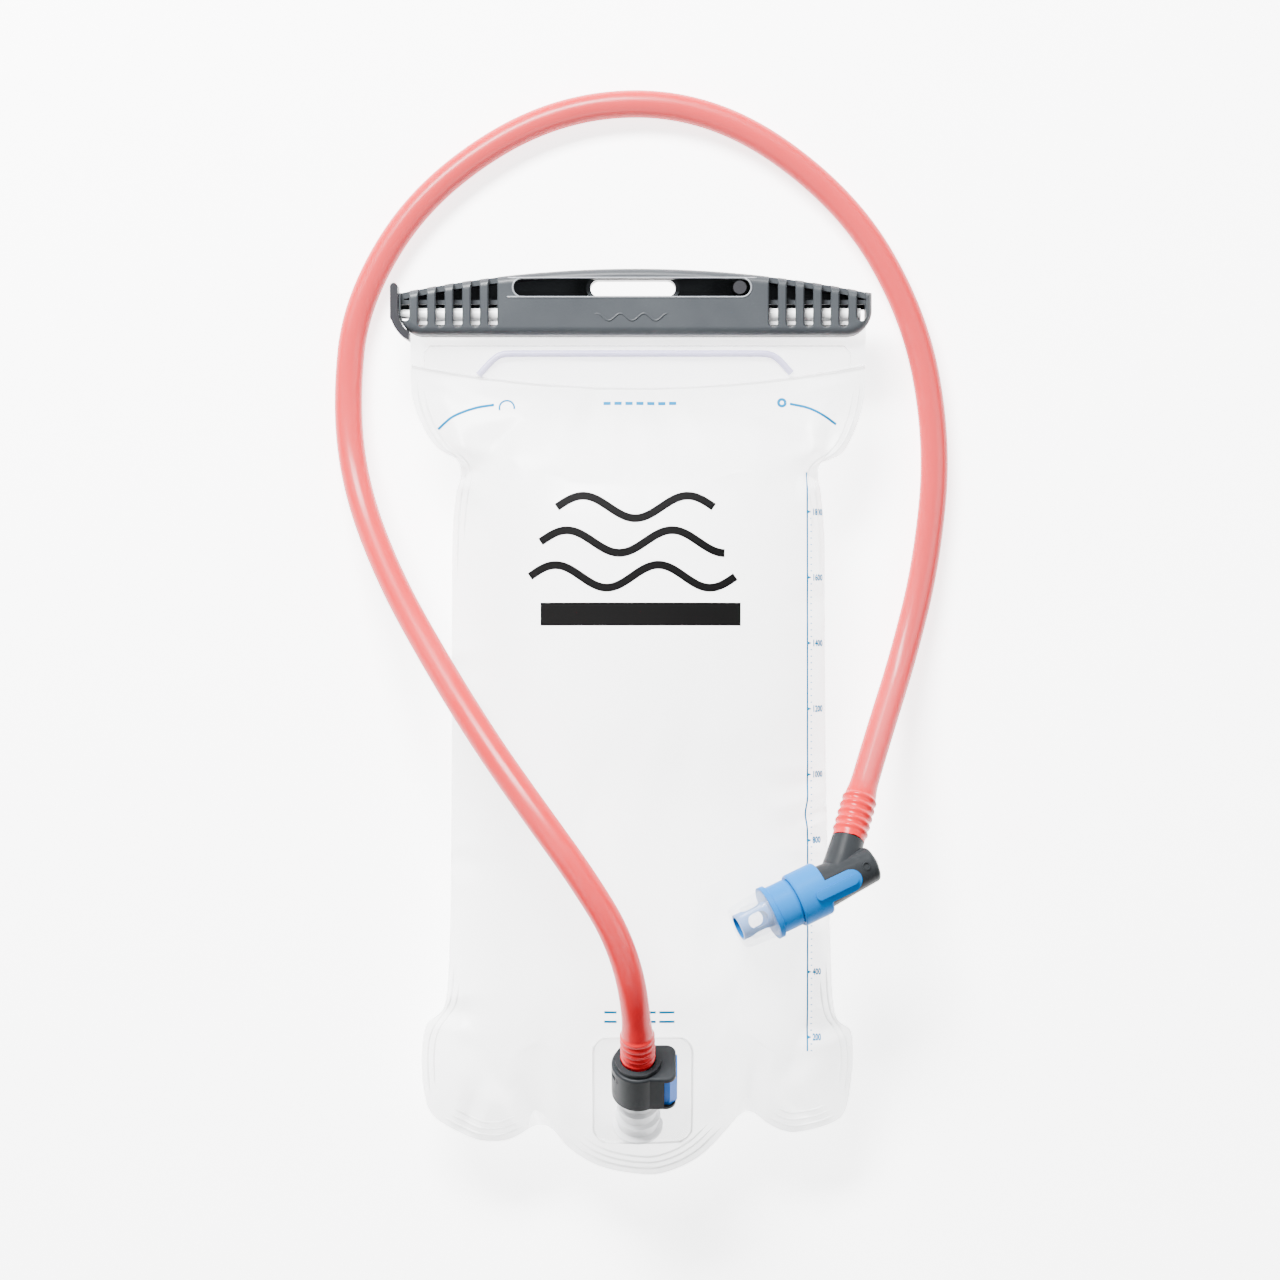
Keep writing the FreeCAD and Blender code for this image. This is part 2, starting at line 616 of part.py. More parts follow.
# ---- elbow, shut-off collar and bite valve ----
def make_valve():
    barrel = turned([(0, 6.3), (8.3, 6.3), (7.5, 16), (6.7, BARREL_END), (0, BARREL_END + 2)])
    end_rim = [e for e in barrel.Edges if abs(e.BoundBox.ZMin - BARREL_END) < 0.5 and e.BoundBox.XLength > 5]
    barrel = barrel.makeFillet(1.6, end_rim)
    ring = tube(*RELIEF_RING, 4, 7.2)
    ring.translate(V(-0.6, BARREL_END - 4.2, 0))
    ring.rotate(V(0, 0, 0), X_AXIS, 90)
    barrel = barrel.fuse(ring)
    spindle = rod(SPINDLE_R, -3.6, 6.3)
    stub = BRANCH_LENGTH - 0.3
    branch = turned([(0, 0), (7.2, 0), (6.55, 8), (6.15, stub), (0, stub)])
    barb = turned([
        (0, 10), (2.85, 10), (2.85, 19), (3.1, 19.3), (2.85, 21.5), (2.85, 22),
        (3.1, 22.3), (2.85, 24.5), (2.85, 27), (0, 27),
    ])
    elbow = placed(barrel.fuse(spindle), VALVE).multiFuse([placed(branch, BRANCH), placed(barb, BRANCH)])
    groove = tube(SPINDLE_R + 1, 4.9, -2.4, -0.9)
    elbow = elbow.cut(placed(rod(WATERWAY_R, -5, 16), VALVE)).cut(placed(groove, VALVE))
    elbow = elbow.cut(placed(rod(2.2, 0, 30), BRANCH)).removeSplitter()
    save("valve_elbow", elbow)
    save("elbow_oring", placed(Part.makeTorus(5.42, 0.5, V(0, 0, -1.65)), VALVE))

    # Collar with the finger tab that lies over the barrel; local -Y is the upper side.
    bore = rod(SPINDLE_R + RUN_CLEAR, -4.3, 7)
    collar = turned([(0, -5.5), (9.8, -5.5), (COLLAR_R, -5.0), (COLLAR_R, 5.5), (9.9, 6.1), (0, 6.1)])
    finger = slot(-2.6, 5.8, -4, FINGER_END, 0, 14)
    rib = slot(-0.2, 3.4, 0.5, FINGER_END - 1.7, 0, 14)
    for blank in (finger, rib):
        blank.rotate(V(0, 0, 0), X_AXIS, 90)
    finger = finger.common(tube(COLLAR_R, 8.6, -5, 22))
    rib = rib.common(tube(COLLAR_R + 0.9, 8.8, -5, 22))
    collar = collar.multiFuse([finger, rib]).cut(bore)
    collar = collar.cut(rod(SPINDLE_R + RUN_CLEAR, -6, -4)).removeSplitter()
    save("shutoff_collar", placed(collar, VALVE))

    core = turned([
        (0, -4.0), (SPINDLE_R - 0.1, -4.0), (SPINDLE_R - 0.1, -5.6), (8.6, -5.6), (9.1, -6.4), (9.1, -13.9),
        (COLLAR_R, -14.3), (COLLAR_R, -16.2), (5.0, -16.2), (5.0, -28.6), (0, -28.6),
    ])
    core = core.cut(rod(WATERWAY_R, -17, -3)).cut(rod(4.1, -30, -16.9))
    width, near, far = NOSE_WINDOW
    window = slot(-width / 2, width / 2, near, far, -8, 8)
    window.rotate(V(0, 0, 0), X_AXIS, -90)
    cross_window = window.copy()
    cross_window.rotate(V(0, 0, 0), Z_AXIS, 90)
    core = core.cut(window).cut(cross_window).removeSplitter()
    save("valve_core", placed(core, VALVE))

    tip = turned([
        (5.1, -16.3), (9.2, -16.3), (9.0, -20.0), (8.3, -27.8), (7.6, -28.9), (5.1, -28.9),
        (5.1, -25.6), (6.4, -24.6), (6.4, -18.6), (5.1, -17.8),
    ])
    save("bite_tip", placed(tip, VALVE))


os.makedirs("parts", exist_ok=True)
FRONT_DOME = make_films()
make_mouth()
make_rail()
make_slide()
make_port(FRONT_DOME)
make_connector()
make_hose()
make_valve()
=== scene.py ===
import math

import bpy
import numpy as np
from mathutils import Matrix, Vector
from mathutils.bvhtree import BVHTree


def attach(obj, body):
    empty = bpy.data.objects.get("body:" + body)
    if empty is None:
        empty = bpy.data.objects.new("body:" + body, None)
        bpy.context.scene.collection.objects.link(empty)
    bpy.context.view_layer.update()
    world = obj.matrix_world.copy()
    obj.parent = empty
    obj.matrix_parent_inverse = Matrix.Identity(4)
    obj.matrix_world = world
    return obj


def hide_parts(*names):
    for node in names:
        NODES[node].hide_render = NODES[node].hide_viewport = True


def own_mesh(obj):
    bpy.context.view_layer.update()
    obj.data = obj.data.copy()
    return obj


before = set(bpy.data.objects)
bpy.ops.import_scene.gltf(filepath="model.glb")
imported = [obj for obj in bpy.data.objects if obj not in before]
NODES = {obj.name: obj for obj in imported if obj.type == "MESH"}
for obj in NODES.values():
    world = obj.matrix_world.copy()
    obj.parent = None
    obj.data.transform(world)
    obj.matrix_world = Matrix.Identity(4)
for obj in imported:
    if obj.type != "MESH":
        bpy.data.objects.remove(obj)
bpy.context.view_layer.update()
MM = 0.001

# ---------------------------------------------------------------- sizes (metres)
SEAM_Z = 0.024              # height of the weld round the bag
MOUTH_HALF = 0.0857         # half width of the flat mouth
CUFF_TOP = 0.1496           # upper end of the clear cuff, inside the slide
HOSE_R = 0.00525


def points(rows):
    """Rows of millimetres as an array in metres."""
    return np.array(rows, float) * MM


# Right and left edges of the inflated bag, from the curved cuff weld down to the bottom corners.
RIGHT_EDGE = points([
    (85.7, 134.5), (85.2, 122), (82.5, 112), (78.0, 102.5), (74.5, 99.5), (69.6, 98.5),
    (67.6, 94), (69.0, 86), (70.2, 70), (70.4, 40), (70.6, 0), (71.2, -40), (72.4, -79),
    (73.4, -104), (75.6, -113), (80.2, -115.5), (81.0, -126), (80.2, -136), (79.0, -144.0),
])
LEFT_EDGE = points([
    (-85.7, 134.5), (-85.0, 122), (-81.5, 112), (-78.0, 106), (-74.0, 102), (-68.4, 99),
    (-66.4, 94), (-68.5, 86), (-69.8, 70), (-70.1, 40), (-70.1, 0), (-70.3, -40), (-70.8, -79),
    (-72.2, -104), (-75.0, -110), (-79.6, -113.5), (-81.4, -124), (-81.0, -136), (-79.5, -144.5),
])
# Bottom edge from left to right: three lobes with two notches between them.
BOTTOM_EDGE = points([
    (-79.5, -144.5), (-77, -148.5), (-72, -152), (-61, -157.2), (-50, -157.6), (-42.5, -154),
    (-37.5, -151.2), (-32.6, -152.8), (-26, -160.5), (-15, -167), (0, -170.1), (10, -169.7),
    (23, -163.7), (34, -152.8), (38.5, -147.2), (42.5, -146.2), (48, -150.6), (56, -154.4),
    (64, -153.8), (72, -151.5), (77, -148.6), (79, -144),
])
# Left end, middle and right end of the curved weld where the cuff meets the bag.
CUFF_WELD = ((-0.0857, 0.1345), (0.0, 0.1258), (0.0857, 0.1345))

# Control points of the hose's centreline, from the quick connector to the valve elbow.
HOSE_ROUTE = points([
    (0, -123.4, 67.3), (0, -102.2, 86.4), (-6.5, -76, 94.5), (-20.5, -53.5, 93.5),
    (-36.5, -32, 86.5), (-55, -7, 72.5), (-75, 23.5, 52.5), (-93.5, 55, 31.5), (-107, 88, 13),
    (-111.5, 121, 5.3), (-107.5, 161, 5.3), (-80.5, 204, 5.3), (-29.5, 235.5, 5.3),
    (28, 235.5, 5.3), (79, 200, 5.3), (106, 154, 5.3), (114.5, 105, 5.3), (110, 60, 5.3),
    (101, 25, 9.5), (91.7, -1.5, 23.2), (83.9, -24.4, 35.7), (77.9, -43.2, 45.4),
])


# ---------------------------------------------------------------- small helpers
def new_mesh(name, vertices, faces):
    mesh = bpy.data.meshes.new(name)
    mesh.from_pydata([tuple(v) for v in vertices], [], faces)
    mesh.validate()
    obj = bpy.data.objects.new(name, mesh)
    bpy.context.collection.objects.link(obj)
    return obj


def smooth(obj):
    obj.data.polygons.foreach_set("use_smooth", [True] * len(obj.data.polygons))
    return obj


def apply_modifiers(obj):
    """Gives obj the mesh that its modifiers make, and removes them."""
    view = bpy.context.evaluated_depsgraph_get()
    mesh = bpy.data.meshes.new_from_object(obj.evaluated_get(view))
    obj.modifiers.clear()
    obj.data = mesh
    return obj


def travelled(line):
    """Length along a line of points, from its start to each point."""
    return np.concatenate([[0], np.cumsum(np.linalg.norm(np.diff(line, axis=0), axis=1))])


CURVE_SAMPLES = 600


def along(edge, count):
    """count points at even steps of length along a smooth curve through edge's points."""
    edge = np.asarray(edge)
    t = travelled(edge)
    fine = np.linspace(0, t[-1], CURVE_SAMPLES)
    padded = np.vstack([2 * edge[0] - edge[1], edge, 2 * edge[-1] - edge[-2]])
    out = []
    for value in fine:
        k = min(int(np.searchsorted(t, value, "right")) - 1, len(edge) - 2)
        f = (value - t[k]) / (t[k + 1] - t[k])
        p0, p1, p2, p3 = padded[k:k + 4]
        out.append(0.5 * (2 * p1 + (p2 - p0) * f + (2 * p0 - 5 * p1 + 4 * p2 - p3) * f ** 2
                          + (3 * p1 - p0 - 3 * p2 + p3) * f ** 3))
    out = np.array(out)
    length = travelled(out)
    wanted = np.linspace(0, length[-1], count)
    return np.column_stack([np.interp(wanted, length, out[:, a]) for a in range(out.shape[1])])


# ---------------------------------------------------------------- materials
def nodes_of(name):
    """A new material with its node tree and its shader."""
    material = bpy.data.materials.new(name)
    material.use_nodes = True
    tree = material.node_tree
    return material, tree, tree.nodes["Principled BSDF"]


def add(tree, kind, **values):
    """A new node; each value sets an input of that name, or else a property."""
    node = tree.nodes.new(kind)
    for key, value in values.items():
        if key in node.inputs:
            node.inputs[key].default_value = value
        else:
            setattr(node, key, value)
    return node


def grain(tree, shader, scale, strength, distance=0.0002, detail=3.0):
    """Fine surface relief in object coordinates; gives back the coordinates' node."""
    place = add(tree, "ShaderNodeTexCoord")
    noise = add(tree, "ShaderNodeTexNoise", Scale=scale, Detail=detail)
    bump = add(tree, "ShaderNodeBump", Strength=strength, Distance=distance)
    tree.links.new(place.outputs["Object"], noise.inputs["Vector"])
    tree.links.new(noise.outputs["Fac"], bump.inputs["Height"])
    tree.links.new(bump.outputs["Normal"], shader.inputs["Normal"])
    return place


def vary(tree, shader, place, low, high, scale, rough):
    """Slow drift of colour and roughness over the surface."""
    cloud = add(tree, "ShaderNodeTexNoise", Scale=scale, Detail=2.0)
    ramp = add(tree, "ShaderNodeValToRGB")
    ramp.color_ramp.elements[0].color = (*low, 1)
    ramp.color_ramp.elements[1].color = (*high, 1)
    spread = add(tree, "ShaderNodeMapRange", **{"To Min": rough - 0.05, "To Max": rough + 0.07})
    tree.links.new(place.outputs["Object"], cloud.inputs["Vector"])
    tree.links.new(cloud.outputs["Fac"], ramp.inputs["Fac"])
    tree.links.new(cloud.outputs["Fac"], spread.inputs["Value"])
    tree.links.new(ramp.outputs["Color"], shader.inputs["Base Color"])
    tree.links.new(spread.outputs["Result"], shader.inputs["Roughness"])


def plastic(name, low, high, rough=0.4, grain_scale=2600, grain_strength=0.25, specular=0.5):
    """Moulded plastic or rubber: colour between low and high, with a fine grain."""
    material, tree, shader = nodes_of(name)
    place = grain(tree, shader, grain_scale, grain_strength)
    vary(tree, shader, place, low, high, 60, rough)
    shader.inputs["Specular IOR Level"].default_value = specular
    return material


def clear(name, colour, alpha, rough, wave=0.12):
    """Thin translucent film: a milky share over what shows through it, with a soft gloss."""
    material, tree, shader = nodes_of(name)
    place = grain(tree, shader, 120, wave, 0.0006, 2.0)
    vary(tree, shader, place, tuple(0.96 * c for c in colour), colour, 35, rough)
    shader.inputs["Alpha"].default_value = alpha
    shader.inputs["Specular IOR Level"].default_value = 0.5
    return material


def rubber_tube(name):
    """Translucent red tube: its wall passes less light edge on, and over the barbs inside it."""
    material, tree, shader = nodes_of(name)
    place = grain(tree, shader, 900, 0.08)
    vary(tree, shader, place, (0.43, 0.005, 0.010), (0.50, 0.008, 0.014), 25, 0.24)
    shader.inputs["Specular IOR Level"].default_value = 0.17
    weight = add(tree, "ShaderNodeLayerWeight", Blend=0.5)
    wall = add(tree, "ShaderNodeMapRange", **{
        "From Min": 0.10, "From Max": 0.55, "To Min": 0.80, "To Max": 1.0,
    })
    depth = add(tree, "ShaderNodeAttribute", attribute_name="depth")
    total = add(tree, "ShaderNodeMath", operation="ADD", use_clamp=True)
    tree.links.new(weight.outputs["Facing"], wall.inputs["Value"])
    tree.links.new(wall.outputs["Result"], total.inputs[0])
    tree.links.new(depth.outputs["Fac"], total.inputs[1])
    tree.links.new(total.outputs[0], shader.inputs["Alpha"])
    return material


def shader_input(material, name, value):
    material.node_tree.nodes["Principled BSDF"].inputs[name].default_value = value


FILM = clear("milky_film", (0.96, 0.965, 0.97), 0.42, 0.30)
FILM_BACK = clear("milky_film_back", (0.95, 0.955, 0.96), 0.45, 0.4)
CUFF_FILM = clear("clear_cuff_film", (0.93, 0.935, 0.95), 0.22, 0.2)
WELD = clear("weld_line", (0.97, 0.975, 0.98), 0.45, 0.12)
PATCH_FILM = clear("patch_film", (0.93, 0.935, 0.94), 0.12, 0.2)
HEM_FILM = plastic("hem_white", (0.90, 0.91, 0.92), (0.95, 0.955, 0.96), 0.3)
LAVENDER = clear("lavender_bead", (0.40, 0.38, 0.60), 0.6, 0.3)
SLIDE = plastic("slide_grey", (0.025, 0.028, 0.032), (0.036, 0.040, 0.044), 0.34, specular=0.2)
# Lighter grey copy of the slide's plastic: a painted highlight for the rim round its recess.
SLIDE_RIM_PAINTED_HIGHLIGHT = plastic(
    "slide_rim_painted_highlight", (0.15, 0.16, 0.175), (0.19, 0.20, 0.215), 0.3, specular=0.4)
DARK = plastic("dark_plastic", (0.012, 0.012, 0.014), (0.022, 0.022, 0.025), 0.42, specular=0.12)
FITTING = plastic(
    "fitting_grey", (0.013, 0.0145, 0.016), (0.019, 0.021, 0.023), 0.32, specular=0.06)
VALVE_BLUE = plastic("valve_blue", (0.0, 0.105, 0.34), (0.0, 0.135, 0.41), 0.28, specular=0.03)
BUTTON_BLUE = plastic("button_blue", (0.0, 0.085, 0.40), (0.0, 0.115, 0.48), 0.28, specular=0.1)
PORT_CLEAR = clear("port_clear", (0.78, 0.79, 0.81), 0.72, 0.14)
RUBBER = plastic("seal_rubber", (0.01, 0.01, 0.01), (0.02, 0.02, 0.02), 0.55)
STEEL = plastic("spring_steel", (0.5, 0.5, 0.52), (0.6, 0.6, 0.62), 0.28)
shader_input(STEEL, "Metallic", 1.0)
SILICONE = clear("clear_silicone", (0.62, 0.69, 0.78), 0.15, 0.1, 0.05)
HOSE_RED = rubber_tube("hose_red")
INK_BLUE = plastic("ink_blue", (0.0, 0.10, 0.24), (0.0, 0.13, 0.30), 0.6, specular=0.0)
INK_BLACK = plastic("ink_black", (0.001, 0.001, 0.001), (0.002, 0.002, 0.002), 0.7, specular=0.08)

CAD_MATERIALS = {
    "mouth_stiffener": LAVENDER, "mouth_rail": HEM_FILM, "rail_stop": DARK, "mouth_hem": HEM_FILM,
    "slide_body": SLIDE, "slide_stud": DARK, "port_patch": PATCH_FILM, "port_nipple": PORT_CLEAR,
    "port_spigot": DARK, "port_oring": RUBBER, "poppet_guide": DARK, "poppet": DARK,
    "poppet_seal": RUBBER, "poppet_spring": STEEL, "connector_body": FITTING,
    "hose_barb": FITTING, "hose_collar": FITTING, "release_button": BUTTON_BLUE,
    "latch_plate": DARK, "button_spring": STEEL, "valve_elbow": FITTING, "elbow_oring": RUBBER,
    "shutoff_collar": VALVE_BLUE, "valve_core": VALVE_BLUE, "bite_tip": SILICONE,
    "mouth_cuff": CUFF_FILM, "front_panel": FILM, "back_panel": FILM_BACK, "drink_hose": HOSE_RED,
}


def dress(obj, material):
    obj.data.materials.clear()
    obj.data.materials.append(material)
    return obj


for node, material in CAD_MATERIALS.items():
    dress(NODES[node], material)


# ---------------------------------------------------------------- camera, floor and light
camera_data = bpy.data.cameras.new("camera")
camera_data.sensor_width = 36
camera_data.lens = 105
camera_data.dof.use_dof = False
camera = bpy.data.objects.new("camera", camera_data)
camera.location = (0.00075, 0.03094, 1.43)
bpy.context.collection.objects.link(camera)
bpy.context.scene.camera = camera


def square(name, half):
    """A flat square round the origin."""
    corners = [(-half, -half, 0), (half, -half, 0), (half, half, 0), (-half, half, 0)]
    return new_mesh(name, corners, [(0, 1, 2, 3)])


floor = square("floor", 12)
floor.location.z = -0.0002
FLOOR = plastic("floor_paper", (0.93, 0.93, 0.93), (0.95, 0.95, 0.95), 0.8, 300, 0.02)
shader_input(FLOOR, "Emission Color", (1, 1, 1, 1))
shader_input(FLOOR, "Emission Strength", 3.6)
dress(floor, FLOOR)

world = bpy.data.worlds.new("studio")
world.use_nodes = True
world.node_tree.nodes["Background"].inputs["Color"].default_value = (1, 1, 1, 1)
world.node_tree.nodes["Background"].inputs["Strength"].default_value = 0.3
bpy.context.scene.world = world


def softbox(name, place, size, watts):
    """A rectangular soft light that aims at the origin."""
    data = bpy.data.lights.new(name, "AREA")
    data.shape = "RECTANGLE"
    data.size, data.size_y = size
    data.energy = watts
    light = bpy.data.objects.new(name, data)
    light.location = place
    light.rotation_euler = (-Vector(place)).to_track_quat("-Z", "Y").to_euler()
    bpy.context.collection.objects.link(light)


softbox("key", (-0.40, 1.05, 1.0), (0.8, 0.35), 150)
softbox("fill", (0.95, 0.1, 0.8), (0.35, 0.9), 8)
softbox("rim", (-1.0, -0.2, 0.5), (0.3, 0.9), 5)


# ---------------------------------------------------------------- drink hose
def route_line():
    """The hose's smooth centreline as points, from a NURBS spline on the route."""
    curve = bpy.data.curves.new("hose_route", "CURVE")
    curve.dimensions = "3D"
    curve.resolution_u = 24
    spline = curve.splines.new("NURBS")
    spline.points.add(len(HOSE_ROUTE) - 1)
    for point, place in zip(spline.points, HOSE_ROUTE):
        point.co = (*place, 1)
    spline.order_u = 3
    spline.use_endpoint_u = True
    obj = bpy.data.objects.new("hose_route", curve)
    bpy.context.collection.objects.link(obj)
    bpy.context.view_layer.update()
    mesh = bpy.data.meshes.new_from_object(obj)
    line = np.array([v.co for v in mesh.vertices])
    bpy.data.objects.remove(obj)
    return line


def resample(line, stations):
    """Places at each station of length along a line of points."""
    length = travelled(line)
    return np.column_stack([np.interp(stations, length, line[:, a]) for a in range(3)])


HOSE_SIDES = 32


def sweep(name, line, radii, sides=HOSE_SIDES):
    """Tube mesh along line, with its own radius at each station and open ends."""
    tangents = np.gradient(line, axis=0)
    tangents /= np.linalg.norm(tangents, axis=1)[:, None]
    normal = np.cross(tangents[0], (0, 0, 1.0))
    normal /= np.linalg.norm(normal)
    rings = []
    angles = np.linspace(0, 2 * math.pi, sides, endpoint=False)
    for place, tangent, radius in zip(line, tangents, radii):
        normal = normal - tangent * normal.dot(tangent)
        normal /= np.linalg.norm(normal)
        other = np.cross(tangent, normal)
        circle = np.outer(np.cos(angles), normal) + np.outer(np.sin(angles), other)
        rings.append(place + radius * circle)
    vertices = np.concatenate(rings)
    faces = []
    for ring in range(len(line) - 1):
        near, far = ring * sides, (ring + 1) * sides
        for k in range(sides):
            n = (k + 1) % sides
            faces.append((near + k, near + n, far + n, far + k))
    return smooth(new_mesh(name, vertices, faces))


BARB_RINGS = 5
FIRST_RING = 0.0035           # from the tube's end to the first barb ring
RING_WIDTH = 0.23             # half width of a ridge, as a share of the rings' pitch
RING_LIFT = 0.00060


def step_down(distance, reach, softness):
    """1 near the tube's end, falling through a half at reach to 0."""
    return 1 / (1 + np.exp((distance - reach) / softness))


def barb_swell(distance, reach, pitch, lift):
    """How far the tube stands proud over a barb: swollen, with a ridge over each barb ring."""
    ripple = np.zeros_like(distance)
    for k in range(BARB_RINGS):
        ripple += np.exp(-((distance - FIRST_RING - pitch * k) / (RING_WIDTH * pitch)) ** 2)
    return lift * step_down(distance, reach, 0.0016) + RING_LIFT * ripple


LINE = route_line()
TOTAL = travelled(LINE)[-1]
# Stations along the tube: close together over the two barbs, wider apart between them.
PORT_BARB, VALVE_BARB = 0.028, TOTAL - 0.034
STATIONS = np.concatenate([
    np.arange(0, PORT_BARB, 0.0004),
    np.arange(PORT_BARB, VALVE_BARB, 0.002),
    np.arange(VALVE_BARB, TOTAL, 0.0004),
    [TOTAL],
])
CENTRES = resample(LINE, STATIONS)
SWELL = (barb_swell(STATIONS, 0.018, 0.0027, 0.0006)
         + barb_swell(TOTAL - STATIONS, 0.0205, 0.0033, 0.0009))
hose = sweep("drink_hose_tube", CENTRES, HOSE_R + SWELL)
# The wall passes less light over both barbs, and a little less as the tube nears the port.
near_port = 0.12 * np.exp(-STATIONS / 0.08) + 0.15 * step_down(STATIONS, 0.019, 0.0015)
near_valve = 0.22 * step_down(TOTAL - STATIONS, 0.019, 0.0015)
depth = hose.data.attributes.new("depth", "FLOAT", "POINT")
depth.data.foreach_set("value", np.repeat(near_port + near_valve, HOSE_SIDES).astype(np.float32))
dress(hose, HOSE_RED)
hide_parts("drink_hose")
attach(hose, "hose_set")


# ---------------------------------------------------------------- bag films
COLUMNS, ROWS = ((60, 108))
FRONT_RISE, BACK_RISE = 0.033, 0.0225      # how far the films stand from the seam at the start
CLOTH_FRAMES = 26


def bag_grid():
    """Flat places of the bag's grid: rows from the cuff weld down to the lobed bottom edge."""
    left, right = along(LEFT_EDGE, ROWS + 1), along(RIGHT_EDGE, ROWS + 1)
    bottom = along(BOTTOM_EDGE, COLUMNS + 1)
    u = np.linspace(0, 1, COLUMNS + 1)
    v = np.linspace(0, 1, ROWS + 1)
    bend = CUFF_WELD[0][1] - CUFF_WELD[1][1]
    top = np.column_stack([
        CUFF_WELD[0][0] + (CUFF_WELD[2][0] - CUFF_WELD[0][0]) * u,
        CUFF_WELD[1][1] + bend * (2 * u - 1) ** 2,
    ])
    grid = np.zeros((ROWS + 1, COLUMNS + 1, 2))
    for j in range(ROWS + 1):
        for i in range(COLUMNS + 1):
            a, b = u[i], v[j]
            side = (1 - a) * left[j] + a * right[j]
            ends = (1 - b) * top[i] + b * bottom[i]
            corners = ((1 - a) * (1 - b) * left[0] + a * (1 - b) * right[0]
                       + (1 - a) * b * left[-1] + a * b * right[-1])
            grid[j, i] = side + ends - corners
    return grid


def grid_shares():
    """Shares down the bag, 0 to 1, and across it, -1 to 1, for every place of its grid."""
    return np.linspace(0, 1, ROWS + 1)[:, None], np.linspace(-1, 1, COLUMNS + 1)[None, :]


def inflated_start():
    """A calm inflated shape, 0 at the seam and 1 at its highest, before the cloth is simulated."""
    v, u = grid_shares()
    across = np.clip(1 - np.abs(u) ** 2.3, 0, 1)
    along_bag = np.clip(np.minimum(v / 0.24, (1 - v) / 0.22), 0, 1)
    return np.sin(along_bag * math.pi / 2) * across ** 0.9


def flat_cut():
    """Flat cut of the film: a tube as wide as the mouth, a little longer down its middle."""
    v, u = grid_shares()
    half = 0.0845 - 0.0015 * v
    flat_x = u * half
    flat_y = 0.130 - v * (0.296 + 0.020 * (1 - u ** 2) ** 0.7)
    return np.dstack([flat_x, flat_y, np.full(flat_x.shape, SEAM_Z)])


def make_bag():
    """The front and back films as grids of places, joined at their seam."""
    grid = bag_grid()
    rise = inflated_start()
    ring = np.zeros(rise.shape, bool)
    ring[0, :] = ring[-1, :] = ring[:, 0] = ring[:, -1] = True

    front = np.dstack([grid, SEAM_Z + FRONT_RISE * rise])
    back = np.dstack([grid, SEAM_Z - BACK_RISE * np.clip(rise * 1.35, 0, 1)])
    index_front = np.arange(rise.size).reshape(rise.shape)
    index_back = index_front.copy()
    free = ~ring
    index_back[free] = rise.size + np.arange(int(free.sum()))
    start = np.concatenate([front.reshape(-1, 3), back[free]])

    flat = flat_cut()
    rest = np.concatenate([flat.reshape(-1, 3), flat[free]])

    faces = []
    a, b = index_front, index_back
    for j in range(ROWS):
        for i in range(COLUMNS):
            faces.append((a[j, i], a[j + 1, i], a[j + 1, i + 1], a[j, i + 1]))
            faces.append((b[j, i], b[j, i + 1], b[j + 1, i + 1], b[j + 1, i]))
    bag = new_mesh("bag_cloth", start, [tuple(int(k) for k in f) for f in faces])
    simulate(bag, rest, ring, index_front)
    shape = np.array([v.co for v in bag.data.vertices])
    bpy.data.objects.remove(bag)
    return shape[index_front], shape[index_back]


def simulate(bag, rest, ring, index_front):
    """Inflates the flat-cut film between its pinned weld seam, over the floor."""
    bag.shape_key_add(name="Basis")
    key = bag.shape_key_add(name="flat_cut")
    for point, place in zip(key.data, rest):
        point.co = place
    key.value = 0.0
    pins = bag.vertex_groups.new(name="seam")
    pins.add([int(k) for k in index_front[ring]], 1.0, "REPLACE")
    table = square("table", 1)
    table.modifiers.new("collide", "COLLISION")
    table.collision.thickness_outer = 0.001
    cloth = bag.modifiers.new("cloth", "CLOTH")
    settings = cloth.settings
    settings.quality = 8
    settings.mass = 0.15
    settings.tension_stiffness = 60
    settings.compression_stiffness = 60
    settings.shear_stiffness = 20
    settings.bending_stiffness = 0.4
    settings.tension_damping = 12
    settings.compression_damping = 12
    settings.shear_damping = 8
    settings.air_damping = 4
    settings.vertex_group_mass = "seam"
    settings.rest_shape_key = key
    settings.use_pressure = True
    settings.uniform_pressure_force = 5
    settings.effector_weights.gravity = 0
    cloth.collision_settings.distance_min = 0.001
    cloth.collision_settings.use_self_collision = False
    scene = bpy.context.scene
    scene.frame_start, scene.frame_end = 1, CLOTH_FRAMES
    for number in range(1, CLOTH_FRAMES + 1):
        scene.frame_set(number)
    view = bpy.context.evaluated_depsgraph_get()
    result = bpy.data.meshes.new_from_object(bag.evaluated_get(view))
    places = np.array([v.co for v in result.vertices])
    scene.frame_set(1)
    bag.modifiers.clear()
    bag.shape_key_clear()
    bag.data.vertices.foreach_set("co", places.ravel())
    bpy.data.objects.remove(table)


def surface(name, grid, flip=False):
    """A smooth subdivided sheet through a grid of places."""
    rows, columns = grid.shape[:2]
    faces = []
    for j in range(rows - 1):
        for i in range(columns - 1):
            a = j * columns + i
            b = a + columns
            faces.append((a, a + 1, b + 1, b) if flip else (a, b, b + 1, a + 1))
    obj = new_mesh(name, grid.reshape(-1, 3), faces)
    divide = obj.modifiers.new("divide", "SUBSURF")
    divide.levels = divide.render_levels = 2
    return smooth(apply_modifiers(obj))


def over(tree, x, y):
    """Highest place of a surface over (x, y), or None where there is none."""
    hit = tree.ray_cast(Vector((x, y, 0.3)), Vector((0, 0, -1)))
    return hit[0]


def shaped(value):
    """Smooth step from 0 to 1."""
    value = np.clip(value, 0, 1)
    return value * value * (3 - 2 * value)


FOLD_STRENGTH = 1.7
FLOOR_GAP = 0.0002            # the films stay this far over the floor
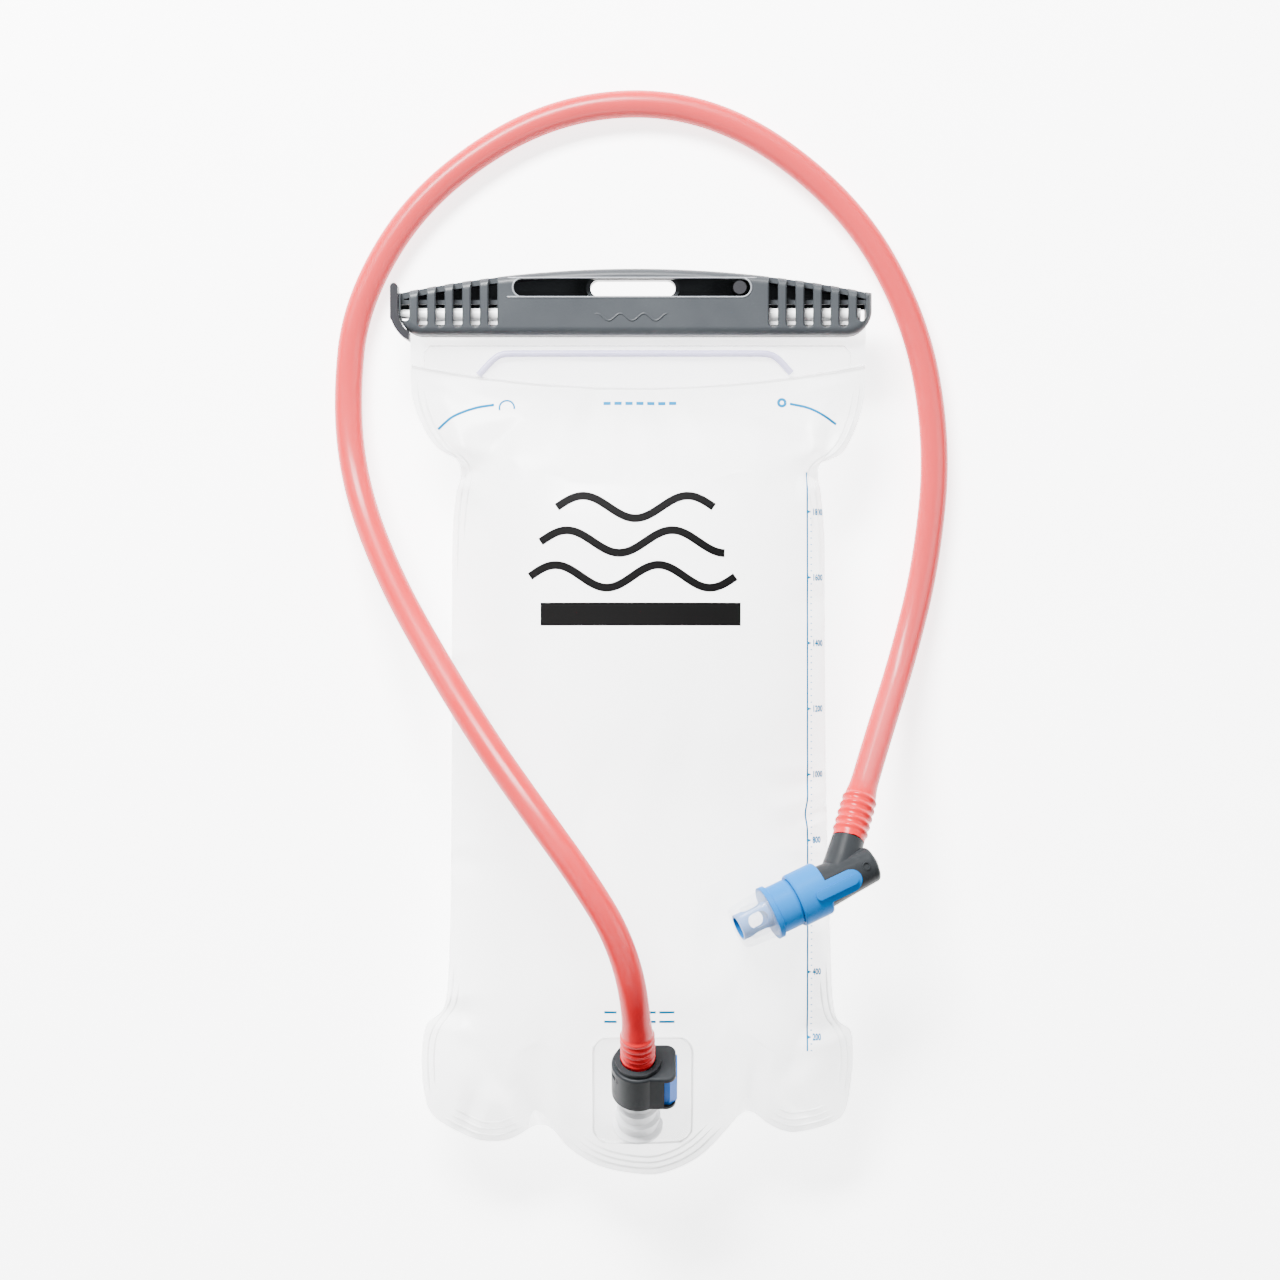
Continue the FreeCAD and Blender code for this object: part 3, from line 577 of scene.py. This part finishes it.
# The film's folds: start and end in the bag's plane, how deep, and how wide, all in millimetres.
FRONT_CREASES = [
    ((71, -19), (40, -23), 1.3, 3.4), ((71, -31), (46, -38), 1.9, 3.2),
    ((70, -43), (44, -34), 1.2, 3.6), ((-69, 97), (-44, 84), 2.0, 4.5),
    ((69, 97), (42, 86), 2.0, 4.5), ((-68, 99), (-80, 124), 1.8, 3.4),
    ((69, 99), (81, 124), 1.8, 3.4), ((-70, 92), (-54, 104), 1.5, 4.0),
    ((70, 92), (56, 106), 1.5, 4.0), ((-37, -151), (-44, -112), 2.2, 6.0),
    ((40, -147), (46, -108), 2.2, 6.0), ((-74, -109), (-50, -112), 1.8, 4.0),
    ((75, -113), (50, -112), 1.8, 4.0), ((-64, -150), (-52, -124), 1.0, 4.0),
    ((62, -147), (52, -122), 1.0, 4.0), ((8, 118), (20, 84), 0.9, 6.0),
    ((-16, 119), (-34, 82), 0.9, 6.0), ((-70, 20), (-48, 14), 0.8, 5.0),
    ((-70, -52), (-46, -60), 0.9, 5.0), ((71, 48), (50, 42), 0.7, 5.0),
    ((70, -72), (30, -60), 1.2, 5.0), ((18, -8), (2, -70), 0.7, 8.0),
    ((-18, -30), (-30, -96), 0.8, 8.0), ((30, -70), (26, -112), 0.8, 7.0),
]
BACK_CREASES = FRONT_CREASES[:11]


def crease(obj, folds, side):
    """Presses folds into a film: deepest at their start, and gone at their end.

    Each is a trough with a low ridge on both sides, and bows a little between its ends.
    """
    places = np.array([v.co for v in obj.data.vertices])
    shift = np.zeros(len(places))
    for start, end, depth, width in folds:
        start, end = np.array(start) * MM, np.array(end) * MM
        run = end - start
        rel = places[:, :2] - start
        t = np.clip(rel @ run / run.dot(run), -0.25, 1.05)
        bow = 0.06 * np.linalg.norm(run) * np.sin(t * math.pi)
        normal = np.array([-run[1], run[0]]) / np.linalg.norm(run)
        off = rel @ normal - bow
        beyond = np.linalg.norm(rel - np.outer(t, run) - np.outer(off + bow, normal), axis=1)
        w = width * MM * (0.7 + 0.6 * np.clip(t, 0, 1))
        ridges = np.exp(-((np.abs(off) - 1.9 * w) / (0.9 * w)) ** 2)
        trough = np.exp(-(off / w) ** 2) - 0.45 * ridges
        shift += (-FOLD_STRENGTH * depth * MM * trough * (1 - shaped(t))
                  * shaped((t + 0.25) / 0.3) * np.exp(-(beyond / w) ** 2))
    places[:, 2] += side * shift
    places[:, 2] = np.maximum(places[:, 2], FLOOR_GAP)
    obj.data.vertices.foreach_set("co", places.ravel())
    obj.data.update()


# The port's weld patch as x0, x1, y0, y1, how far the film takes to leave it, and the most that
# the film may stray from its CAD solid.
PORT_AREA = (-0.020, 0.0235, -0.162, -0.1115)
PORT_EASE = 0.022
FILM_STRAY = 0.007


def settle_on_port(grid, tree):
    """Draws the front film down onto the welded drink port, where it is held flat by the patch."""
    x0, x1, y0, y1 = PORT_AREA
    for j in range(grid.shape[0]):
        for i in range(grid.shape[1]):
            x, y, z = grid[j, i]
            hit = over(tree, x, y)
            if hit is None:
                continue
            reach = max(x0 - x, x - x1, y0 - y, y - y1, 0.0)
            share = float(shaped(1 - reach / PORT_EASE))
            z = z + share * (hit.z + 0.0002 - z)
            if 0 < j < ROWS and 0 < i < COLUMNS:
                z = min(max(z, hit.z - FILM_STRAY), hit.z + FILM_STRAY)
            grid[j, i, 2] = z
    return grid


FRONT_GRID, BACK_GRID = make_bag()
CAD_FRONT = BVHTree.FromObject(NODES["front_panel"], bpy.context.evaluated_depsgraph_get())
FRONT_GRID = settle_on_port(FRONT_GRID, CAD_FRONT)
front_film = surface("front_film", FRONT_GRID)
back_film = surface("back_film", BACK_GRID, flip=True)
crease(front_film, FRONT_CREASES, 1)
crease(back_film, BACK_CREASES, -1)


def adopt(obj, material, body="reservoir", nodes=()):
    """Gives a piece its material, slot and body, and hides the CAD nodes that it stands for."""
    dress(obj, material)
    if nodes:
        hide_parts(*nodes)
    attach(obj, body)
    return obj


adopt(front_film, FILM, nodes=["front_panel"])
adopt(back_film, FILM_BACK, nodes=["back_panel"])
FRONT_TREE = BVHTree.FromObject(front_film, bpy.context.evaluated_depsgraph_get())


# ---------------------------------------------------------------- clear cuff and weld lines
def smile_y(x):
    """How far up the curved cuff weld lies at x."""
    bend = CUFF_WELD[0][1] - CUFF_WELD[1][1]
    return CUFF_WELD[1][1] + bend * (x / MOUTH_HALF) ** 2


CUFF_COLUMNS, CUFF_ROWS = 120, 20


def make_cuff(name, side):
    """One flat layer of clear film from the curved weld up into the slide.

    side is 1 for the front layer and -1 for the back one.
    """
    vertices, faces = [], []
    for j in range(CUFF_ROWS + 1):
        for i in range(CUFF_COLUMNS + 1):
            x = MOUTH_HALF * (2 * i / CUFF_COLUMNS - 1)
            low = smile_y(x)
            y = low + (CUFF_TOP - low) * j / CUFF_ROWS
            ripple = 0.00025 * math.sin(x * 190 + 1.3 * side) * math.sin(math.pi * j / CUFF_ROWS)
            bulge = 0.0012 * max(0.0, 1 - j / 8) ** 2 * (1 - (x / MOUTH_HALF) ** 6)
            vertices.append((x, y, SEAM_Z + side * (0.00045 + bulge) + ripple))
    for j in range(CUFF_ROWS):
        for i in range(CUFF_COLUMNS):
            a = j * (CUFF_COLUMNS + 1) + i
            quad = (a, a + 1, a + CUFF_COLUMNS + 2, a + CUFF_COLUMNS + 1)
            faces.append(quad if side > 0 else quad[::-1])
    cuff = smooth(new_mesh(name, vertices, faces))
    adopt(cuff, CUFF_FILM, nodes=["mouth_cuff"])


def bead(name, runs, thickness, material, taper=True, body="reservoir", nodes=()):
    """Raised lines along runs of points, such as weld lines, thinning out at their ends."""
    curve = bpy.data.curves.new(name, "CURVE")
    curve.dimensions = "3D"
    curve.bevel_depth = thickness
    curve.bevel_resolution = 3
    for run in runs:
        spline = curve.splines.new("POLY")
        spline.points.add(len(run) - 1)
        for k, (point, place) in enumerate(zip(spline.points, run)):
            point.co = (*place, 1)
            t = k / (len(run) - 1)
            point.radius = float(shaped(min(t, 1 - t) / 0.12)) * 0.95 + 0.05 if taper else 1.0
    obj = bpy.data.objects.new(name, curve)
    bpy.context.collection.objects.link(obj)
    bpy.context.view_layer.update()
    mesh = bpy.data.meshes.new_from_object(obj)
    bpy.data.objects.remove(obj)
    solid = bpy.data.objects.new(name, mesh)
    bpy.context.collection.objects.link(solid)
    return adopt(smooth(solid), material, body, nodes)


def eased(path, times=40):
    """path with its small corners smoothed away, its ends kept."""
    path = np.array(path, float)
    for _ in range(times):
        path[1:-1] = 0.5 * path[1:-1] + 0.25 * (path[:-2] + path[2:])
    return path


def on_film(xy, lift):
    """The flat points xy laid on the front film, lift over it."""
    out = []
    for x, y in xy:
        hit = over(FRONT_TREE, x, y)
        if hit is not None:
            out.append((hit.x, hit.y, hit.z + lift))
    return out


def offset_inward(path, distance):
    """path moved to its left by distance, for a path that runs anticlockwise round the bag."""
    path = np.asarray(path)
    tangent = np.gradient(path, axis=0)
    tangent /= np.linalg.norm(tangent, axis=1)[:, None]
    normal = np.column_stack([-tangent[:, 1], tangent[:, 0]])
    return path + distance * normal


make_cuff("cuff_film_front", 1)
make_cuff("cuff_film_back", -1)
weld = [(x, smile_y(x), SEAM_Z + 0.0009) for x in np.linspace(-0.0855, 0.0855, 121)]
bead("cuff_weld", [weld], 0.00045, WELD, taper=False)
border = [
    (-0.0806, smile_y(0.0806)), (-0.0806, 0.1392), (-0.0784, 0.1416),
    (0.0776, 0.1416), (0.0798, 0.1392), (0.0798, smile_y(0.0798)),
]
bead("cuff_border", [[(x, y, SEAM_Z + 0.0006) for x, y in border]], 0.0003, WELD,
     taper=False)

# Weld ridges in the three lobes: where each lobe starts and ends, as shares of the bottom edge.
LOBES = [(0.010, 0.27), (0.30, 0.735), (0.775, 0.99)]
BOTTOM_STEPS = 400
BOTTOM_PATH = along(BOTTOM_EDGE, BOTTOM_STEPS)
ridge_runs = []
for first, last in LOBES:
    for inset in (0.0024, 0.0049, 0.0075):
        shrink = 0.02 + 6 * inset * (last - first)
        start, end = int(BOTTOM_STEPS * (first + shrink)), int(BOTTOM_STEPS * (last - shrink))
        ridge = offset_inward(eased(BOTTOM_PATH[start:end], 60), inset)[2:-2]
        ridge_runs.append(on_film(eased(ridge, 60), 0.0001))
bead("lobe_welds", ridge_runs, 0.0005, WELD)

# Weld ridges along both sides, at the wings and at the outer lobes: inset, first and last step.
SIDE_STEPS = 300
SIDE_RIDGES = [(0.0022, 4, 92), (0.0046, 8, 78), (0.0022, 240, 296), (0.0046, 246, 292)]
edge_runs = []
for edge, inward in ((LEFT_EDGE, 1), (RIGHT_EDGE, -1)):
    path = along(edge, SIDE_STEPS)
    for inset, first, last in SIDE_RIDGES:
        run = path[first:last].copy()
        run[:, 0] += inward * inset
        edge_runs.append(on_film(eased(run), 0.0001))
bead("side_welds", edge_runs, 0.0004, WELD)


def patch_outline(grow):
    """Outline of the port's weld patch, a rounded rectangle grown outwards."""
    x0, x1, y0, y1 = -0.017 - grow, 0.0205 + grow, -0.157 - grow, -0.1155 + grow
    r = 0.006 + grow
    centres = [(x1 - r, y1 - r), (x0 + r, y1 - r), (x0 + r, y0 + r), (x1 - r, y0 + r)]
    out = []
    for quarter, (cx, cy) in enumerate(centres):
        for step in range(9):
            turn = math.radians(90 * quarter + 90 * step / 8)
            out.append((cx + r * math.cos(turn), cy + r * math.sin(turn)))
    out.append(out[0])
    return np.array(out)


# Welded stiffener bead across the cuff, with softly rounded shoulders (millimetres).
shoulders = [(-60.0, 130.6), (-52.5, 138.7), (51.0, 138.7), (58.3, 130.6)]
stiffener = []
for (x0, y0), (x1, y1) in zip(shoulders, shoulders[1:]):
    for t in np.linspace(0, 1, 12 if y0 != y1 else 100, endpoint=False):
        x, y = (x0 + (x1 - x0) * t) * MM, (y0 + (y1 - y0) * t) * MM
        stiffener.append((x, y, SEAM_Z + 0.0014))
bead("stiffener_bead", [eased(stiffener, 14)], 0.0013, LAVENDER,
     taper=False, nodes=["mouth_stiffener"])

# Raised rim round the slide's recess, in a lighter grey than the slide as a painted highlight
# along the recess edge, and a plain wave moulded below it.
SLIDE_TREE = BVHTree.FromObject(NODES["slide_body"], bpy.context.evaluated_depsgraph_get())


def on_slide(path, lift):
    """The flat points of path laid on the slide's front, lift over it."""
    hits = [over(SLIDE_TREE, x, y) for x, y in path]
    return [(h.x, h.y, h.z + lift) for h in hits if h is not None]


def stadium(x0, x1, y0, y1, grow, count=16):
    """Closed outline of a slot with round ends, grown outwards."""
    radius, middle = (y1 - y0) / 2 + grow, (y0 + y1) / 2
    end = (y1 - y0) / 2
    right = [(x1 - end + radius * math.cos(a), middle + radius * math.sin(a))
             for a in np.linspace(-math.pi / 2, math.pi / 2, count)]
    left = [(x0 + end + radius * math.cos(a), middle + radius * math.sin(a))
            for a in np.linspace(math.pi / 2, 3 * math.pi / 2, count)]
    return right + left + right[:1]


recess = stadium(-0.0466, 0.0421, 0.1599, 0.1663, 0.0004)
bead("recess_rim", [on_slide(along(recess, 240), 0.00002)], 0.00032, SLIDE_RIM_PAINTED_HIGHLIGHT,
     taper=False, body="slide_seal")
ripples = [(x, 0.1520 + 0.0013 * math.sin(x * 2 * math.pi / 0.0088))
           for x in np.linspace(-0.0176, 0.0132, 140)]
bead("slide_relief", [on_slide(ripples, -0.00012)], 0.00042, SLIDE, body="slide_seal")

CAD_PATCH = BVHTree.FromObject(NODES["port_patch"], bpy.context.evaluated_depsgraph_get())
rim = []
for x, y in along(patch_outline(-0.0004), 200):
    hit = over(CAD_PATCH, x, y)
    if hit is not None:
        rim.append((x, y, hit.z + 0.0001))
bead("patch_rim", [rim], 0.00045, WELD, taper=False)


# ---------------------------------------------------------------- printing on the front film
def inked(name, outlines, material, lift=0.00015):
    """Thin ink on the film from strips of (left, right) pairs of flat points."""
    vertices, faces = [], []
    for strip in outlines:
        base = len(vertices)
        rows = []
        for row in strip:
            placed = [over(FRONT_TREE, x, y) for x, y in row]
            if all(h is not None for h in placed):
                rows.append([(h.x, h.y, h.z + lift) for h in placed])
        width = len(strip[0])
        for row in rows:
            vertices.extend(row)
        for j in range(len(rows) - 1):
            for i in range(width - 1):
                a = base + j * width + i
                faces.append((a, a + 1, a + width + 1, a + width))
    ink = new_mesh(name, vertices, faces)
    return adopt(ink, material)


def stroke(path, width, across=3):
    """Rows across a line of flat points, for inked()."""
    path = np.asarray(path, float)
    tangent = np.gradient(path, axis=0)
    tangent /= np.linalg.norm(tangent, axis=1)[:, None]
    normal = np.column_stack([-tangent[:, 1], tangent[:, 0]])
    shares = np.linspace(0.5, -0.5, across)
    return [[tuple(p + n * width * s) for s in shares] for p, n in zip(path, normal)]


def wave(x0, x1, y, height, humps):
    """A plain wave from x0 to x1."""
    x = np.linspace(x0, x1, 90)
    return np.column_stack([x, y + height * np.sin((x - x0) / (x1 - x0) * humps * 2 * math.pi)])


def level(x0, x1, y, count):
    """A straight line across the bag."""
    return np.column_stack([np.linspace(x0, x1, count), np.full(count, y)])


def arc(cx, cy, radius, start, end, count):
    """Part of a circle, from start to end in degrees."""
    turns = np.radians(np.linspace(start, end, count))
    return np.column_stack([cx + radius * np.cos(turns), cy + radius * np.sin(turns)])


# Plain emblem: three waves over a bar.
emblem = [
    stroke(wave(-0.030, 0.028, 0.0800, 0.0042, 1.5), 0.0030, 5),
    stroke(wave(-0.036, 0.032, 0.0672, 0.0042, 1.75), 0.0030, 5),
    stroke(wave(-0.040, 0.036, 0.0544, 0.0042, 2.0), 0.0030, 5),
    stroke(level(-0.036, 0.038, 0.0405, 60), 0.0085, 9),
]
inked("emblem_print", emblem, INK_BLACK)

# The scale: its line, which bends aside once, with a wedge at each 200 ml and nine ticks between.
SCALE_X = 0.0634
SCALE_TOP, SCALE_STEP = 0.0975, 0.0246
SCALE_FOOT = -0.123
MARKS = [SCALE_TOP - 0.0185 - SCALE_STEP * k for k in range(9)]
scale_line = [(SCALE_X - 0.0008 * math.exp(-((y + 0.034) / 0.004) ** 2), y)
              for y in np.linspace(0.094, SCALE_FOOT, 240)]
ink_strips = [stroke(scale_line, 0.0006, 2)]
for y in MARKS:
    x0, x1 = SCALE_X + 0.0002, SCALE_X + 0.0015
    ink_strips.append([[(x0, y + 0.0006), (x0, y - 0.0006)], [(x1, y + 0.0001), (x1, y - 0.0001)]])
    for minor in range(1, 10):
        low = y - SCALE_STEP * minor / 10
        if low > SCALE_FOOT:
            tick = [(SCALE_X + 0.0012, low), (SCALE_X + 0.0018, low)]
            ink_strips.append(stroke(tick, 0.0004, 2))

# Plain dashes near the mouth, a line and a ring at each wing, and dashes over the port.
for k in range(7):
    x = -0.0130 + 0.0041 * k
    ink_strips.append(stroke([(x, 0.1197), (x + 0.0028, 0.1197)], 0.0013, 2))
LEFT_WING_LINE = [(-0.0752, 0.1102), (-0.0690, 0.1150), (-0.0610, 0.1180), (-0.0540, 0.1192)]
RIGHT_WING_LINE = [(0.0570, 0.1196), (0.0640, 0.1180), (0.0700, 0.1150), (0.0745, 0.1120)]
ink_strips.append(stroke(along(LEFT_WING_LINE, 30), 0.0010, 2))
ink_strips.append(stroke(arc(-0.0492, 0.1180, 0.0028, 200, -10, 20), 0.0007, 2))
ink_strips.append(stroke(arc(0.0540, 0.1200, 0.0013, 0, 360, 24), 0.0011, 2))
ink_strips.append(stroke(along(RIGHT_WING_LINE, 30), 0.0010, 2))
for y in (-0.1062, -0.1098):
    for x0, x1 in ((-0.0125, -0.0078), (0.0020, 0.0066), (0.0078, 0.0135)):
        ink_strips.append(stroke(level(x0, x1, y, 6), 0.0009, 2))
inked("scale_print", ink_strips, INK_BLUE)

# Each figure in millilitres and how far up the bag it stands.
FIGURES = [(1800 - 200 * k, y) for k, y in enumerate(MARKS)]
FIGURES.append((2000, MARKS[0] + SCALE_STEP * 0.78))


def numbers():
    """Volume figures beside the scale, laid on the front film."""
    vertices, faces = [], []
    for value, y in FIGURES:
        data = bpy.data.curves.new("figure", "FONT")
        data.body = str(value)
        data.size = 0.0033
        data.offset = 0.00015
        data.align_x = "LEFT"
        data.resolution_u = 2
        text = bpy.data.objects.new("figure", data)
        bpy.context.collection.objects.link(text)
        bpy.context.view_layer.update()
        mesh = bpy.data.meshes.new_from_object(text)
        flat = np.array([v.co for v in mesh.vertices])
        squeeze = (0.0040 if value >= 1000 else 0.0032) / flat[:, 0].max()
        base = len(vertices)
        placed = [over(FRONT_TREE, SCALE_X + 0.0020 + x * squeeze, y - 0.0011 + dy)
                  for x, dy, _ in flat]
        if all(h is not None for h in placed):
            vertices.extend((h.x, h.y, h.z + 0.0002) for h in placed)
            faces.extend(tuple(base + v for v in polygon.vertices) for polygon in mesh.polygons)
        bpy.data.objects.remove(text)
    return adopt(new_mesh("scale_numbers", vertices, faces), INK_BLUE)


numbers()


def make_button_spring():
    """The spring behind the release button, as its own copy of the CAD mesh on the hose set's
    body.
    """
    coil = bpy.data.objects.new("button_spring_coil", NODES["button_spring"].data.copy())
    bpy.context.collection.objects.link(coil)
    adopt(coil, STEEL, body="hose_set", nodes=["button_spring"])
    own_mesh(coil)


make_button_spring()
